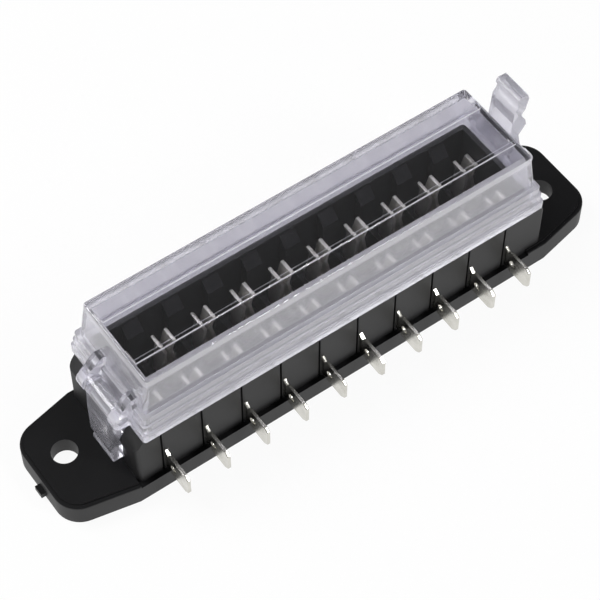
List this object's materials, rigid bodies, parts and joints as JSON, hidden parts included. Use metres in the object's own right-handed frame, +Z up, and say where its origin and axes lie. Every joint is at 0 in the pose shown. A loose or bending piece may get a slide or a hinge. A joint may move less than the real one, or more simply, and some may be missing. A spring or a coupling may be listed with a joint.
{
  "type": "waterproof fuse box",
  "caption": "Long fuse block with a row of blade terminals on each side, a clear sealed lid and a swinging latch at each end.",
  "frame": {"origin": "on the mounting face, under the middle of the base", "axes": "+X along the row of ways to the end whose latch is open, +Y to the hidden long side, +Z up"},
  "size_m": [0.1414, 0.0432, 0.0435],
  "materials": {
    "black_plastic": "black moulded ABS, satin",
    "tinned_metal": "tin plated brass, stamped",
    "clear_plastic": "clear polycarbonate, glossy top and satin walls",
    "frosted_plastic": "milky translucent polycarbonate",
    "seal_rubber": "soft grey silicone rubber"
  },
  "bodies": {
    "base": {"base_housing": "black_plastic", "terminal_near_01": "tinned_metal", "terminal_far_01": "tinned_metal", "terminal_near_02": "tinned_metal", "terminal_far_02": "tinned_metal", "terminal_near_03": "tinned_metal", "terminal_far_03": "tinned_metal", "terminal_near_04": "tinned_metal", "terminal_far_04": "tinned_metal", "terminal_near_05": "tinned_metal", "terminal_far_05": "tinned_metal", "terminal_near_06": "tinned_metal", "terminal_far_06": "tinned_metal", "terminal_near_07": "tinned_metal", "terminal_far_07": "tinned_metal", "terminal_near_08": "tinned_metal", "terminal_far_08": "tinned_metal", "terminal_near_09": "tinned_metal", "terminal_far_09": "tinned_metal", "terminal_near_10": "tinned_metal", "terminal_far_10": "tinned_metal", "cover_seal": "seal_rubber"},
    "cover": {"cover": "clear_plastic"},
    "latch_left": {"latch_left": "frosted_plastic"},
    "latch_right": {"latch_right": "frosted_plastic"}
  },
  "joints": [
    {"name": "cover_lift", "type": "slide", "parent": "base", "child": "cover", "axis": [0, 0, 1], "range_m": [0, 0.02275]},
    {"name": "latch_left_hinge", "type": "hinge", "parent": "cover", "child": "latch_left", "pos_m": [-0.0538, -0.0025, 0.0252], "axis": [0, 1, 0], "range_deg": [0, 175]},
    {"name": "latch_right_hinge", "type": "hinge", "parent": "cover", "child": "latch_right", "pos_m": [0.0538, 0.0025, 0.0252], "axis": [0, 1, 0], "range_deg": [0, 175]}
  ],
  "couplings": [
    {"joint": "latch_left_hinge", "follows": "cover_lift", "rad_per_m": 134.2}
  ]
}
